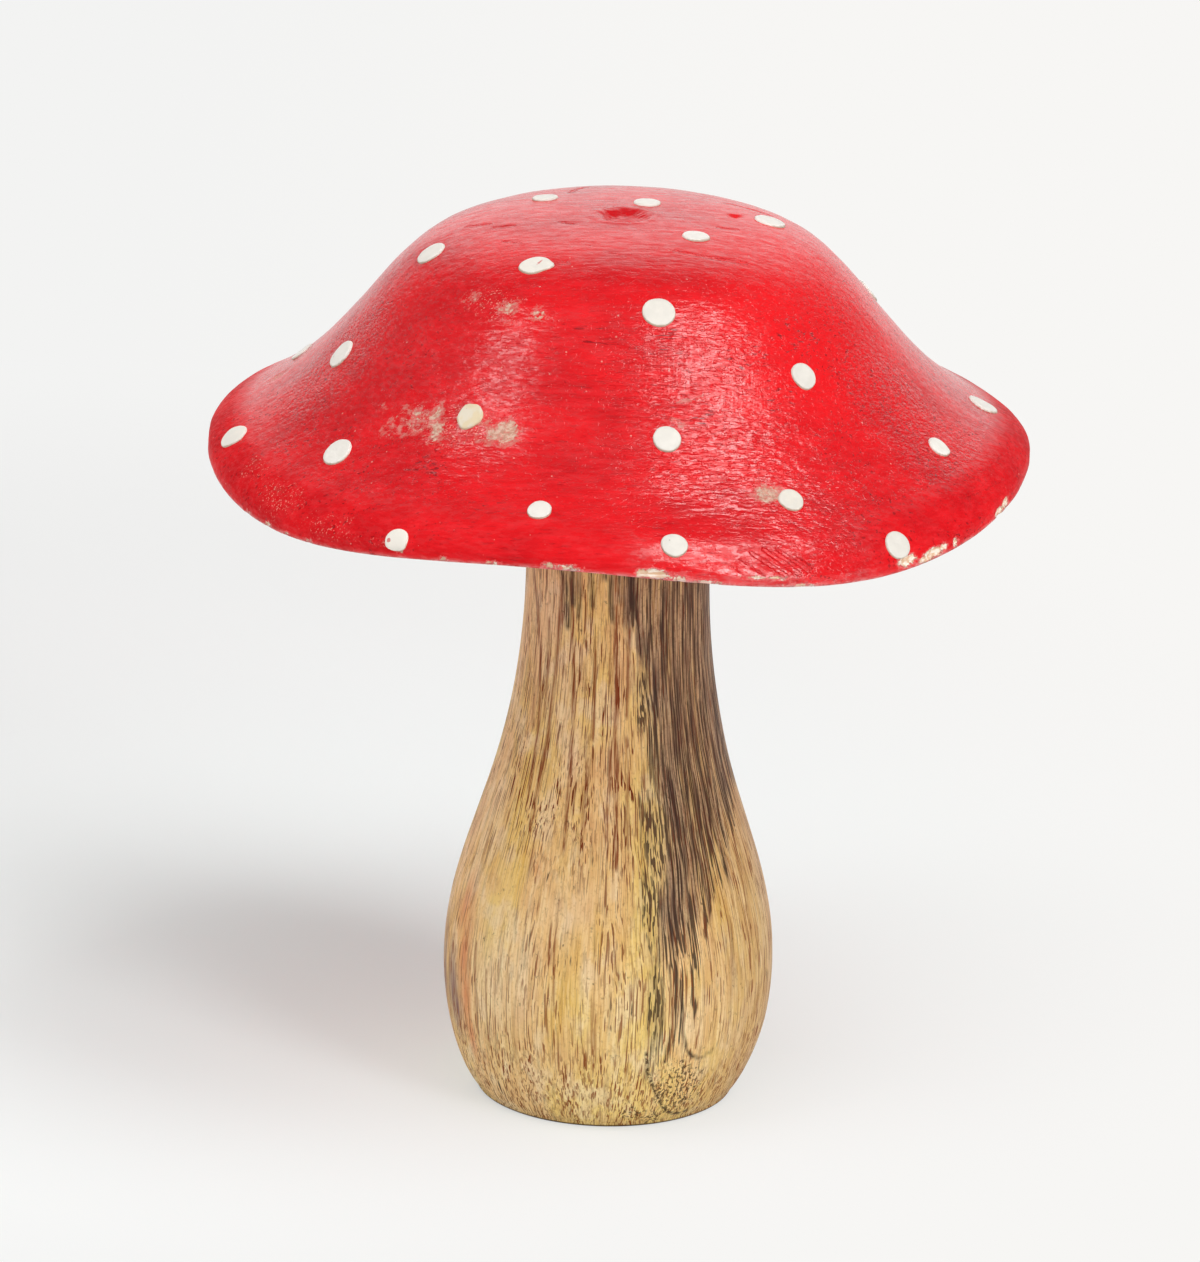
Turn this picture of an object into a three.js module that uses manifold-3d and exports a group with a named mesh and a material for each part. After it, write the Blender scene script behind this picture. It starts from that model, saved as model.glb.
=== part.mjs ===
// A turned wooden mushroom ornament. Its stem ends in a tenon, which sits in a socket under the
// painted cap. A wood screw holds the cap down from the crown, and a dished filler hides the screw.
// Raised dabs of white paint lie on the cap. Sizes are in millimetres, +Z is up, and the origin is
// on the ground at the centre of the stem's flat base. The front faces -Y.

import * as THREE from 'three';
import { mergeVertices } from 'three/addons/utils/BufferGeometryUtils.js';
import Module from 'manifold-3d';

// Clearances
const seatGap = 0.3;
const paintGap = 0.2;

// Stem
const baseRadius = 21.3;
const baseEase = 0.8;
const footBulge = 2.5;
const footRise = 2.3;
const bellyRadius = 27.1;
const bellyHeight = 22.4;
const bellyFullnessBelow = 10.7;
const bellyFullnessAbove = 21.6;
const neckRadius = 14.75;
const neckHeight = 91;
const neckFullness = 37.2;
const stemLength = 115.6;
const tenonRadius = 10;
const tenonLength = 14;
const tenonChamfer = 1;

// Cap
const capRadius = 67;
const capHeight = 40.9;
const dishDepth = 6.5;
const crownFlatness = 28.5;
const shoulderRadius = 36.9;
const shoulderDrop = 9.6;
const shoulderSlope = 45;
const shoulderFullnessAbove = 7.2;
const shoulderFullnessBelow = 7;
const flareInset = 4.9;
const flareHeight = 6.8;
const flareSlope = 27.2;
const flareFullness = 13.4;
const brimRoundFullness = 2.2;
const brimBand = 1.5;
const landingMargin = 2.6;
const dishFullness = 20;
const undersideSlope = 17;
const undersideFullness = 16;

// The brim is shaped by hand and waves. Each wave is a count of crests, a height, and the azimuth
// of one crest.
const brimWaves = [
	{ crests: 4, height: 1.7, azimuth: -9 },
	{ crests: 3, height: 0.4, azimuth: 6 },
	{ crests: 2, height: 1, azimuth: -48 },
	{ crests: 1, height: 0.4, azimuth: 123 },
];
const waveInset = 19.5;

// Screw and filler
const screwLength = 50;
const shankRadius = 2.1;
const shankLength = 16;
const threadRadius = 1.85;
const threadStep = 0.6;
const tipLength = 6;
const headRadius = 4.1;
const headRim = 0.4;
const headSink = 7;
const recessSpan = 4.6;
const recessWidth = 1.1;
const recessDepth = 1.5;
const pilotSpare = 1.5;
const socketSpare = 0.5;
const craterDepth = 0.9;
const craterLip = 0.25;
const craterFlat = 2.4;

// White dabs: azimuth in degrees from the front, place along the cap's outline as a share of the
// way from the crown to the edge, and width.
const dabs = [
	[-132.5, 0.21, 4.2], [155, 0.105, 4.4], [101.5, 0.29, 5.2], [50.5, 0.18, 4.4],
	[-77.5, 0.39, 5.2], [-33, 0.31, 5.1], [10, 0.415, 5.4], [-75.5, 0.65, 5.2],
	[42.5, 0.585, 4.5], [93.5, 0.855, 5.2], [-30, 0.665, 4.3], [-78.5, 0.915, 5.2],
	[9, 0.68, 4.5], [65, 0.815, 3.9], [-53, 0.81, 5.2], [28.5, 0.825, 4.1],
	[-12, 0.855, 3.9], [-31.5, 0.965, 4.1], [42.5, 0.95, 4.7], [8, 0.925, 4.3],
	[-103, 0.77, 4.2], [106, 0.56, 4.5], [-124, 0.48, 4.8], [131, 0.44, 5.1],
	[158, 0.4, 4.4], [-148, 0.4, 4.3], [-176, 0.48, 4.7], [130, 0.69, 4.9],
	[152, 0.57, 4.2], [178, 0.66, 5], [-152, 0.65, 4.6], [-126, 0.65, 5.2],
	[126, 0.95, 4.6], [148, 0.84, 4.3], [169, 0.93, 4.8], [-169, 0.82, 4.1],
	[-146, 0.92, 4.5], [-128, 0.85, 5], [-117, 0.965, 4.2],
];
const dabHeight = 0.4;
const dabEdge = 0.12;

// Facets
const capSegments = 72;
const stemSegments = 56;
const screwSegments = 24;
const dabSegments = 10;
const dabRings = [0.55, 1];
const crownSteps = 8;
const flareSteps = 9;
const brimRoundSteps = 4;
const undersideSteps = 7;
const footSteps = 9;
const neckSteps = 13;
const craterSteps = 4;

// Tolerances: points this near are one point, corners this near are one corner, and the cap's
// outline has no point nearer than this to the bore's mouth.
const repeatTolerance = 1e-6;
const weldTolerance = 1e-4;
const boreMargin = 0.8;

// Heights that follow from how the pieces stack
const edgeHeight = stemLength - dishDepth;
const crownHeight = edgeHeight + capHeight;
const headTop = crownHeight - headSink;
const headBase = headTop - headRim - (headRadius - shankRadius);
const screwTip = headTop - screwLength;
const boreRadius = headRadius + seatGap;
const clearanceRadius = shankRadius + seatGap;
const socketRadius = tenonRadius + seatGap;
const socketTop = stemLength + tenonLength + socketSpare;
const landingRadius = neckRadius + landingMargin;

const wasm = await Module();
wasm.setup();

const radians = THREE.MathUtils.degToRad;
const at = (radius, height) => new THREE.Vector2(radius, height);
const along = (slope, length) => at(Math.cos(radians(slope)) * length, -Math.sin(radians(slope)) * length);

function bezier(start, startHandle, endHandle, end, steps) {
	return new THREE.CubicBezierCurve(start, startHandle, endHandle, end).getPoints(steps);
}

function withoutRepeats(points) {
	return points.filter((point, i) => i === 0 || point.distanceTo(points[i - 1]) > repeatTolerance);
}

// Turns a profile of (radius, height) round the Z axis. It runs anticlockwise round the solid.
function turned(profile, segments) {
	return new THREE.LatheGeometry(withoutRepeats(profile), segments).rotateX(Math.PI / 2);
}

// Shares the vertices of a geometry and drops the triangles that close up on the axis.
function welded(geometry) {
	const bare = geometry.clone();
	bare.deleteAttribute('normal');
	bare.deleteAttribute('uv');
	const merged = mergeVertices(bare, weldTolerance);
	const corners = merged.index.array;
	const kept = [];
	for (let i = 0; i < corners.length; i += 3) {
		const [a, b, c] = corners.slice(i, i + 3);
		if (a !== b && b !== c && c !== a) kept.push(a, b, c);
	}
	merged.setIndex(kept);
	return merged;
}

function solid(geometry) {
	const shape = welded(geometry);
	return new wasm.Manifold(new wasm.Mesh({
		numProp: 3,
		vertProperties: new Float32Array(shape.attributes.position.array),
		triVerts: new Uint32Array(shape.index.array),
	}));
}

function fromSolid(manifold) {
	const { vertProperties, triVerts } = manifold.getMesh();
	const geometry = new THREE.BufferGeometry();
	geometry.setAttribute('position', new THREE.BufferAttribute(vertProperties, 3));
	geometry.setIndex(new THREE.BufferAttribute(triVerts, 1));
	return geometry;
}

// The cap's outer outline, from the brim's lower edge to the middle of the crown.
function capOutline() {
	const edge = at(capRadius, edgeHeight);
	const bandTop = at(capRadius, edgeHeight + brimBand);
	const flare = at(capRadius - flareInset, edgeHeight + flareHeight);
	const shoulder = at(shoulderRadius, crownHeight - shoulderDrop);
	const crown = at(0, crownHeight);
	return withoutRepeats([
		edge,
		...bezier(
			bandTop,
			bandTop.clone().setY(bandTop.y + brimBand),
			flare.clone().add(along(flareSlope, brimRoundFullness)),
			flare,
			brimRoundSteps,
		),
		...bezier(
			flare,
			flare.clone().sub(along(flareSlope, flareFullness)),
			shoulder.clone().add(along(shoulderSlope, shoulderFullnessBelow)),
			shoulder,
			flareSteps,
		),
		...bezier(
			shoulder,
			shoulder.clone().sub(along(shoulderSlope, shoulderFullnessAbove)),
			crown.clone().setX(crownFlatness),
			crown,
			crownSteps,
		),
	]);
}

// The height of the crown over a radius that lies between two points of the outline.
function crownHeightOver(radius, outline) {
	const inner = outline.findIndex((point) => point.x <= radius);
	const [low, high] = [outline[inner], outline[inner - 1]];
	return THREE.MathUtils.mapLinear(radius, low.x, high.x, low.y, high.y);
}

// How far the brim's wave lifts a point of the cap.
function waveLift(radius, azimuth) {
	const share = Math.max(0, 1 - (capRadius - radius) / waveInset) ** 2;
	const lifts = brimWaves.map(
		(wave) => wave.height * Math.cos(wave.crests * (azimuth - radians(wave.azimuth))),
	);
	return share * lifts.reduce((sum, lift) => sum + lift, 0);
}

const azimuthOf = (x, y) => Math.atan2(x, -y);

function waved(geometry) {
	const place = geometry.attributes.position;
	for (let i = 0; i < place.count; i += 1) {
		const [x, y] = [place.getX(i), place.getY(i)];
		place.setZ(i, place.getZ(i) + waveLift(Math.hypot(x, y), azimuthOf(x, y)));
	}
	return geometry;
}

function capGeometry(outline) {
	const edge = outline[0];
	const landing = at(landingRadius, stemLength);
	const underside = bezier(
		landing,
		landing.clone().setX(landing.x + dishFullness),
		edge.clone().sub(along(undersideSlope, undersideFullness)),
		edge,
		undersideSteps,
	);
	return waved(turned([
		at(socketRadius, stemLength),
		...underside,
		...outline.filter((point) => point.x > boreRadius + boreMargin),
		at(boreRadius, crownHeightOver(boreRadius, outline)),
		at(boreRadius, headBase + boreRadius - clearanceRadius),
		at(clearanceRadius, headBase),
		at(clearanceRadius, socketTop),
		at(socketRadius, socketTop),
		at(socketRadius, stemLength),
	], capSegments));
}

function stemGeometry() {
	const base = at(baseRadius, baseEase);
	const belly = at(bellyRadius, bellyHeight);
	const neck = at(neckRadius, neckHeight);
	const tenonTop = stemLength + tenonLength;
	const pilotBottom = screwTip - pilotSpare;
	return turned([
		at(0, 0),
		at(baseRadius - baseEase, 0),
		...bezier(
			base,
			base.clone().add(at(footBulge, footRise)),
			belly.clone().setY(belly.y - bellyFullnessBelow),
			belly,
			footSteps,
		),
		...bezier(
			belly,
			belly.clone().setY(belly.y + bellyFullnessAbove),
			neck.clone().setY(neck.y - neckFullness),
			neck,
			neckSteps,
		),
		at(neckRadius, stemLength),
		at(tenonRadius, stemLength),
		at(tenonRadius, tenonTop - tenonChamfer),
		at(tenonRadius - tenonChamfer, tenonTop),
		at(clearanceRadius, tenonTop),
		at(clearanceRadius, pilotBottom + clearanceRadius),
		at(0, pilotBottom),
	], stemSegments);
}

// A countersunk wood screw, tip down, with a cross recess in its head.
function screwGeometry() {
	const threadTop = headBase - shankLength;
	const body = turned([
		at(0, screwTip),
		at(threadRadius, screwTip + tipLength),
		at(threadRadius, threadTop - threadStep),
		at(shankRadius, threadTop),
		at(shankRadius, headBase),
		at(headRadius, headTop - headRim),
		at(headRadius, headTop),
		at(0, headTop),
	], screwSegments);
	const slot = new THREE.BoxGeometry(recessSpan, recessWidth, 2 * recessDepth).translate(0, 0, headTop);
	const crossSlot = slot.clone().rotateZ(Math.PI / 2);
	return fromSolid(solid(body).subtract(solid(slot).add(solid(crossSlot))));
}

// The filler rests on the screw's head and fills the bore. Its top has sunk to a shallow crater.
function fillerGeometry(outline) {
	const mouth = crownHeightOver(boreRadius, outline);
	const lip = at(boreRadius - paintGap, mouth - craterLip);
	const floor = at(0, mouth - craterDepth);
	return turned([
		at(0, headTop),
		at(lip.x, headTop),
		...bezier(lip, lip.clone().setY(floor.y), floor.clone().setX(craterFlat), floor, craterSteps),
	], screwSegments);
}

// The outline from the crown outwards, with its own length and an outward normal at each point.
function measured(outline) {
	const points = [...outline].reverse();
	const lengths = [0];
	points.slice(1).forEach((point, i) => lengths.push(lengths[i] + point.distanceTo(points[i])));
	const normals = points.map((point, i) => {
		const before = points[Math.max(i - 1, 0)];
		const after = points[Math.min(i + 1, points.length - 1)];
		return at(before.y - after.y, after.x - before.x).normalize();
	});
	normals[0].set(0, 1);
	return { points, lengths, normals };
}

function radial(azimuth, radius, height) {
	return new THREE.Vector3(radius * Math.sin(azimuth), -radius * Math.cos(azimuth), height);
}

// The nearest point of the waved cap to a place near it, moved off the surface by a distance.
function offCap(place, surface, distance) {
	const azimuth = azimuthOf(place.x, place.y);
	const lifted = surface.points.map((point) => at(point.x, point.y + waveLift(point.x, azimuth)));
	const target = at(Math.hypot(place.x, place.y), place.z);
	let best = { gap: Infinity };
	for (let i = 1; i < lifted.length; i += 1) {
		const run = lifted[i].clone().sub(lifted[i - 1]);
		const share = THREE.MathUtils.clamp(target.clone().sub(lifted[i - 1]).dot(run) / run.lengthSq(), 0, 1);
		const point = lifted[i - 1].clone().addScaledVector(run, share);
		const gap = point.distanceTo(target);
		if (gap < best.gap) {
			const normal = surface.normals[i - 1].clone().lerp(surface.normals[i], share).normalize();
			best = { gap, point, normal };
		}
	}
	const moved = best.point.addScaledVector(best.normal, distance);
	return radial(azimuth, moved.x, moved.y);
}

// One dab: a low dome that follows the cap, a little clear of it.
function dabGeometry([azimuthDegrees, reach, width], surface) {
	const azimuth = radians(azimuthDegrees);
	const length = reach * surface.lengths.at(-1);
	const i = surface.lengths.findIndex((end) => end >= length);
	const share = THREE.MathUtils.inverseLerp(surface.lengths[i - 1], surface.lengths[i], length);
	const middle = surface.points[i - 1].clone().lerp(surface.points[i], share);
	const slope = surface.points[i].clone().sub(surface.points[i - 1]).normalize();
	const centre = radial(azimuth, middle.x, middle.y + waveLift(middle.x, azimuth));
	const down = radial(azimuth, slope.x, slope.y);
	const across = new THREE.Vector3(Math.cos(azimuth), Math.sin(azimuth), 0);
	const corners = [];
	const addRing = (size, distance) => {
		for (let j = 0; j < dabSegments; j += 1) {
			const turn = (j / dabSegments) * 2 * Math.PI;
			const place = centre.clone()
				.addScaledVector(down, size * Math.cos(turn))
				.addScaledVector(across, size * Math.sin(turn));
			corners.push(offCap(place, surface, distance));
		}
	};
	corners.push(offCap(centre, surface, paintGap));
	dabRings.forEach((ring) => addRing(ring * width / 2, paintGap));
	[...dabRings].reverse().forEach(
		(ring) => addRing(ring * width / 2, paintGap + dabEdge + (dabHeight - dabEdge) * (1 - ring ** 2)),
	);
	corners.push(offCap(centre, surface, paintGap + dabHeight));
	return domeBetween(corners, 2 * dabRings.length, dabSegments);
}

// Closes a first corner, rings of corners and a last corner into one body.
function domeBetween(corners, rings, count) {
	const last = corners.length - 1;
	const ringCorner = (ring, j) => 1 + ring * count + (j % count);
	const faces = [];
	for (let j = 0; j < count; j += 1) {
		faces.push(0, ringCorner(0, j + 1), ringCorner(0, j));
		for (let ring = 1; ring < rings; ring += 1) {
			const [a, b] = [ringCorner(ring - 1, j), ringCorner(ring - 1, j + 1)];
			const [c, d] = [ringCorner(ring, j), ringCorner(ring, j + 1)];
			faces.push(a, b, c, b, d, c);
		}
		faces.push(last, ringCorner(rings - 1, j), ringCorner(rings - 1, j + 1));
	}
	const geometry = new THREE.BufferGeometry().setFromPoints(corners);
	geometry.setIndex(faces);
	return geometry;
}

function piece(name, geometry, look) {
	geometry.computeVertexNormals();
	const mesh = new THREE.Mesh(geometry, new THREE.MeshStandardMaterial(look));
	mesh.name = name;
	return mesh;
}

const wood = { color: 0xc49a62, roughness: 0.45, metalness: 0 };
const redPaint = { color: 0xd8151f, roughness: 0.35, metalness: 0 };
const whitePaint = { color: 0xf0eddf, roughness: 0.5, metalness: 0 };
const zincSteel = { color: 0xb4b6b8, roughness: 0.35, metalness: 1 };

const outline = capOutline();
const surface = measured(outline);
const mushroom = new THREE.Group();
mushroom.add(
	piece('stem', stemGeometry(), wood),
	piece('cap', capGeometry(outline), redPaint),
	piece('cap_screw', screwGeometry(), zincSteel),
	piece('screw_filler', fillerGeometry(outline), redPaint),
);
dabs.forEach((dab, i) => {
	const name = `white_dab_${String(i + 1).padStart(2, '0')}`;
	mushroom.add(piece(name, dabGeometry(dab, surface), whitePaint));
});

export default mushroom;
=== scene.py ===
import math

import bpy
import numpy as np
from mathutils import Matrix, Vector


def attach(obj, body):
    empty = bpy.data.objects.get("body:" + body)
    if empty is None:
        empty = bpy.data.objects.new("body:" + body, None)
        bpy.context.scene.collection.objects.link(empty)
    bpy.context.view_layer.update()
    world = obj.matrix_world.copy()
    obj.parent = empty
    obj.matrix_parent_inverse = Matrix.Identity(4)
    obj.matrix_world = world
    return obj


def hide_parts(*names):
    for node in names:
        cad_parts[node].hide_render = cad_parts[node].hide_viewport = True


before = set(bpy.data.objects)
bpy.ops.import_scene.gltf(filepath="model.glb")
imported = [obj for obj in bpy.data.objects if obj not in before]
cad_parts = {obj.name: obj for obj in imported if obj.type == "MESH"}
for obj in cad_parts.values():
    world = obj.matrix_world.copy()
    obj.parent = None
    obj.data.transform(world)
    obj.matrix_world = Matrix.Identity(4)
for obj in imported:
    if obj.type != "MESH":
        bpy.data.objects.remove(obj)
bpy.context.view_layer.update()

# A turned wooden mushroom ornament: a spalted hardwood stem, a red painted cap with a wavy brim,
# and raised dabs of white paint. Shapes are worked out in millimetres and built in metres.
# Azimuths are in degrees from the front (-Y), positive towards +X. A place on the cap is an
# azimuth and a run, the length along the outline from the middle of the crown.

MM = 0.001

# Sizes shared with the solids. A fullness is how far a curve keeps its direction from a point.
STEM_LENGTH = 115.6
BASE_RADIUS = 21.3
BASE_EASE = 0.8
BASE_FULLNESS = 0.3
FOOT_BULGE = (23.8, 3.1)
BELLY_RADIUS = 27.1
BELLY_HEIGHT = 22.4
BELLY_FULLNESS_BELOW = 10.7
BELLY_FULLNESS_ABOVE = 21.6
NECK_RADIUS = 14.75
NECK_HEIGHT = 91
NECK_FULLNESS = 37.2
TENON_RADIUS = 10.0
TENON_LENGTH = 14.0
TENON_CHAMFER = 1
CAP_RADIUS = 67.0
CAP_HEIGHT = 40.9
DISH_DEPTH = 6.5
EDGE_HEIGHT = STEM_LENGTH - DISH_DEPTH
CROWN_HEIGHT = EDGE_HEIGHT + CAP_HEIGHT
CROWN_FULLNESS = 28.5
SHOULDER_RADIUS = 36.9
SHOULDER_DROP = 9.6
SHOULDER_SLOPE = 45
SHOULDER_FULLNESS_ABOVE = 7.2
SHOULDER_FULLNESS_BELOW = 7
FLARE_INSET = 4.9
FLARE_HEIGHT = 6.8
FLARE_SLOPE = 27.2
FLARE_FULLNESS_ABOVE = 13.4
FLARE_FULLNESS_BELOW = 2.2
BRIM_BAND = 1.5
UNDERSIDE_SLOPE = 17
UNDERSIDE_FULLNESS = 16
LANDING_RADIUS = NECK_RADIUS + 2.6
LANDING_FULLNESS = 20
SEAT_GAP = 0.3
SOCKET_TOP = STEM_LENGTH + TENON_LENGTH + 0.5
SHANK_HOLE_RADIUS = 2.4
HEAD_BORE_RADIUS = 4.4
HEAD_TOP = CROWN_HEIGHT - 7.0
HEAD_RIM = 0.4
WAVE_INSET = 19.5

# The brim's waves: how many go round, their height and the azimuth of a crest
BRIM_WAVES = [(4, 1.7, -9), (3, 0.4, 6), (2, 1, -48), (1, 0.4, 123)]
# The dabs: azimuth, share of the way from the crown's middle to the brim's edge, and width
DABS = [
    (-132.5, 0.21, 4.2), (155, 0.105, 4.4), (101.5, 0.29, 5.2), (50.5, 0.18, 4.4), (-77.5, 0.39, 5.2),
    (-33, 0.31, 5.1), (10, 0.415, 5.4), (-75.5, 0.65, 5.2), (42.5, 0.585, 4.5), (93.5, 0.855, 5.2),
    (-30, 0.665, 4.3), (-78.5, 0.915, 5.2), (9, 0.68, 4.5), (65, 0.815, 3.9), (-53, 0.81, 5.2),
    (28.5, 0.825, 4.1), (-12, 0.855, 3.9), (-31.5, 0.965, 4.1), (42.5, 0.95, 4.7), (8, 0.925, 4.3),
    (-103, 0.77, 4.2), (106, 0.56, 4.5), (-124, 0.48, 4.8), (131, 0.44, 5.1), (158, 0.4, 4.4),
    (-148, 0.4, 4.3), (-176, 0.48, 4.7), (130, 0.69, 4.9), (152, 0.57, 4.2), (178, 0.66, 5),
    (-152, 0.65, 4.6), (-126, 0.65, 5.2), (126, 0.95, 4.6), (148, 0.84, 4.3), (169, 0.93, 4.8),
    (-169, 0.82, 4.1), (-146, 0.92, 4.5), (-128, 0.85, 5), (-117, 0.965, 4.2),
]


# Noise on arrays
def lattice(ix, iy, iz, seed):
    """A value from -1 to 1 for each whole-number place, always the same for the same place."""
    n = (ix * 374761393 + iy * 668265263 + iz * 1442695041 + seed * 1274126177) & 0xFFFFFFFF
    n = ((n ^ (n >> 13)) * 1274126177) & 0xFFFFFFFF
    return ((n ^ (n >> 16)) & 0xFFFF) / 32767.5 - 1


def noise(points, size, seed=0, octaves=3):
    """Smooth noise from -1 to 1 on an array of points, with features of a size, or of one along
    each axis."""
    total, weight = 0.0, 0.0
    for octave in range(octaves):
        p = points / np.asarray(size, float) * 2 ** octave + 37.3 * octave
        cell = np.floor(p).astype(np.int64)
        f = p - cell
        f = f * f * (3 - 2 * f)
        value = 0.0
        for corner in range(8):
            step = np.array([corner & 1, corner >> 1 & 1, corner >> 2 & 1])
            share = np.prod(np.where(step, f, 1 - f), axis=-1)
            value = value + share * lattice(*np.moveaxis(cell + step, -1, 0), seed + octave)
        total = total + value / 2 ** octave
        weight += 1 / 2 ** octave
    return total / weight


def smooth(x, low, high):
    """A smooth step from 0 at low to 1 at high."""
    t = np.clip((x - low) / (high - low), 0, 1)
    return t * t * (3 - 2 * t)


# Outlines, each a list of radius and height
def along(slope, length):
    return np.array([math.cos(math.radians(slope)), -math.sin(math.radians(slope))]) * length


def bezier(a, b, c, d, steps):
    t = np.linspace(0, 1, steps + 1)[:, None]
    a, b, c, d = (np.asarray(p, float) for p in (a, b, c, d))
    return (1 - t) ** 3 * a + 3 * t * (1 - t) ** 2 * b + 3 * t * t * (1 - t) * c + t ** 3 * d


def run_of(points):
    """The length along an outline up to each of its points."""
    return np.append(0, np.cumsum(np.hypot(*np.diff(points, axis=0).T)))


def resampled(points, runs):
    own = run_of(points)
    return np.stack([np.interp(runs, own, points[:, 0]), np.interp(runs, own, points[:, 1])], -1)


def cap_outline():
    """From the middle of the crown over the shoulder and the flare to the brim's lower edge."""
    edge = np.array([CAP_RADIUS, EDGE_HEIGHT])
    band = edge + (0, BRIM_BAND)
    flare = edge + (-FLARE_INSET, FLARE_HEIGHT)
    shoulder = np.array([SHOULDER_RADIUS, CROWN_HEIGHT - SHOULDER_DROP])
    to_shoulder = shoulder - along(SHOULDER_SLOPE, SHOULDER_FULLNESS_ABOVE)
    from_shoulder = shoulder + along(SHOULDER_SLOPE, SHOULDER_FULLNESS_BELOW)
    to_flare = flare - along(FLARE_SLOPE, FLARE_FULLNESS_ABOVE)
    from_flare = flare + along(FLARE_SLOPE, FLARE_FULLNESS_BELOW)
    return np.vstack([
        bezier((0, CROWN_HEIGHT), (CROWN_FULLNESS, CROWN_HEIGHT), to_shoulder, shoulder, 300),
        bezier(shoulder, from_shoulder, to_flare, flare, 300)[1:],
        bezier(flare, from_flare, band + (0, BRIM_BAND), band, 100)[1:],
        edge,
    ])


def stem_outline():
    """From the flat foot over the belly and the neck to the top."""
    foot = (BASE_RADIUS - BASE_EASE, 0)
    base = (BASE_RADIUS, BASE_EASE)
    belly = np.array([BELLY_RADIUS, BELLY_HEIGHT])
    neck = np.array([NECK_RADIUS, NECK_HEIGHT])
    return np.vstack([
        foot,
        bezier(foot, (BASE_RADIUS - BASE_FULLNESS, 0), (BASE_RADIUS, BASE_FULLNESS), base, 8)[1:],
        bezier(base, FOOT_BULGE, belly - (0, BELLY_FULLNESS_BELOW), belly, 120)[1:],
        bezier(belly, belly + (0, BELLY_FULLNESS_ABOVE), neck - (0, NECK_FULLNESS), neck, 200)[1:],
        (NECK_RADIUS, STEM_LENGTH),
    ])


OUTLINE = cap_outline()
OUTLINE_RUN = run_of(OUTLINE)
RIM_RUN = OUTLINE_RUN[-1]


def wave_lift(radius, azimuth):
    """How far the waves lift the cap, which fades out away from the brim."""
    share = np.clip(1 - (CAP_RADIUS - radius) / WAVE_INSET, 0, 1) ** 2
    return share * sum(h * np.cos(n * (azimuth - math.radians(a))) for n, h, a in BRIM_WAVES)


def round_z(radius, azimuth, height):
    across, back = radius * np.sin(azimuth), -radius * np.cos(azimuth)
    return np.stack(np.broadcast_arrays(across, back, height), -1)


def cap_point(azimuth, run):
    radius = np.interp(run, OUTLINE_RUN, OUTLINE[:, 0])
    height = np.interp(run, OUTLINE_RUN, OUTLINE[:, 1])
    return round_z(radius, azimuth, height + wave_lift(radius, azimuth))


def cap_normal(azimuth, run):
    """The direction out of the cap, from places just above, below and on either side."""
    below = cap_point(azimuth, np.minimum(run + 0.2, RIM_RUN))
    above = cap_point(azimuth, np.maximum(run - 0.2, 0.01))
    off_axis = np.maximum(run, 0.5)
    side = cap_point(azimuth + 0.003, off_axis) - cap_point(azimuth - 0.003, off_axis)
    normal = np.cross(below - above, side)
    return normal / np.linalg.norm(normal, axis=-1, keepdims=True)


# Marks on the cap. A blob is azimuth, run, half-width round the axis, half-height down the slope
# and, where the mark is faint, the most that its middle may reach. A gouge is two places,
# half-width and depth, and a pit is a place, radius and depth.
CHIPS = [
    (-9, 83.2, 1, 0.45), (-6.4, 83.3, 1.4, 0.45), (3.4, 83, 0.9, 0.75), (5.4, 82.9, 1.9, 0.85),
    (8.6, 83.3, 1.4, 0.55), (12, 83.6, 3, 0.4), (19, 82.2, 1.5, 0.3), (22.5, 82.15, 1.2, 0.28),
    (26, 83.6, 2.2, 0.35), (43.4, 82.2, 1.9, 0.95), (46.6, 83.2, 1.2, 0.6), (48.6, 82.7, 2.2, 0.95),
    (50.8, 82.5, 0.9, 0.7), (53.6, 82.7, 0.7, 0.75), (66, 83.2, 1.5, 0.8), (68.4, 82.8, 1.5, 0.9),
    (-24, 83.3, 0.5, 0.3), (-17, 83.5, 0.8, 0.3), (-30.6, 82.6, 0.4, 0.4), (-47, 83.5, 0.7, 0.25),
    (-52, 83.5, 0.6, 0.3), (-56.5, 83.4, 0.8, 0.35), (-62, 83.5, 0.6, 0.3), (97, 83.3, 2.4, 0.9),
    (118, 83.2, 1.6, 1.3), (143, 83.4, 3.2, 0.7), (171, 83.2, 1.8, 1.2), (-160, 83.3, 2.2, 0.9),
    (-134, 83, 1.2, 1.4), (-112, 83.4, 2.6, 0.8), (-88, 83.5, 1.4, 0.5),
]
WORN = [
    (-43.6, 59.3, 2.8, 3, 0.35), (-40, 58.6, 2.6, 2.6, 0.45), (-46, 61, 1.8, 1.6, 0.2),
    (-37.4, 56.8, 1.5, 2.6, 3), (-35.8, 58.9, 1.9, 1.9, 3), (-35.4, 60.4, 1.6, 1.3, 3),
    (-41.6, 57.4, 1.5, 1.4, 0.9), (-49.6, 58.1, 1.1, 0.7, 0.7), (-21.6, 57.2, 2.6, 2.8, 2.6),
    (-23.8, 58, 2.1, 1.9, 2.6), (-27.4, 56.2, 1.4, 0.8, 0.6), (-26.6, 58.8, 0.8, 0.9, 2),
    (-25, 60.4, 0.7, 0.6, 0.8), (-44, 36, 2, 1.5, 0.4), (-32, 36.2, 2.3, 1.8, 0.75),
    (-22.4, 36.5, 1.7, 1.4, 0.75), (-30.4, 38.8, 1.4, 0.8, 0.3), (24.9, 67.6, 3.2, 2.2, 4),
    (27.8, 68.4, 2.6, 1.7, 4.5), (14.4, 50.2, 2, 0.8, 0.4), (11.4, 54.3, 1.5, 1.2, 0.4),
    (22, 57, 0.7, 0.6, 0.8), (142, 63, 3.2, 2, 0.9), (-158, 50, 2.6, 1.6, 0.6), (-95, 68, 1.8, 2.4, 0.7),
]
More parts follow.
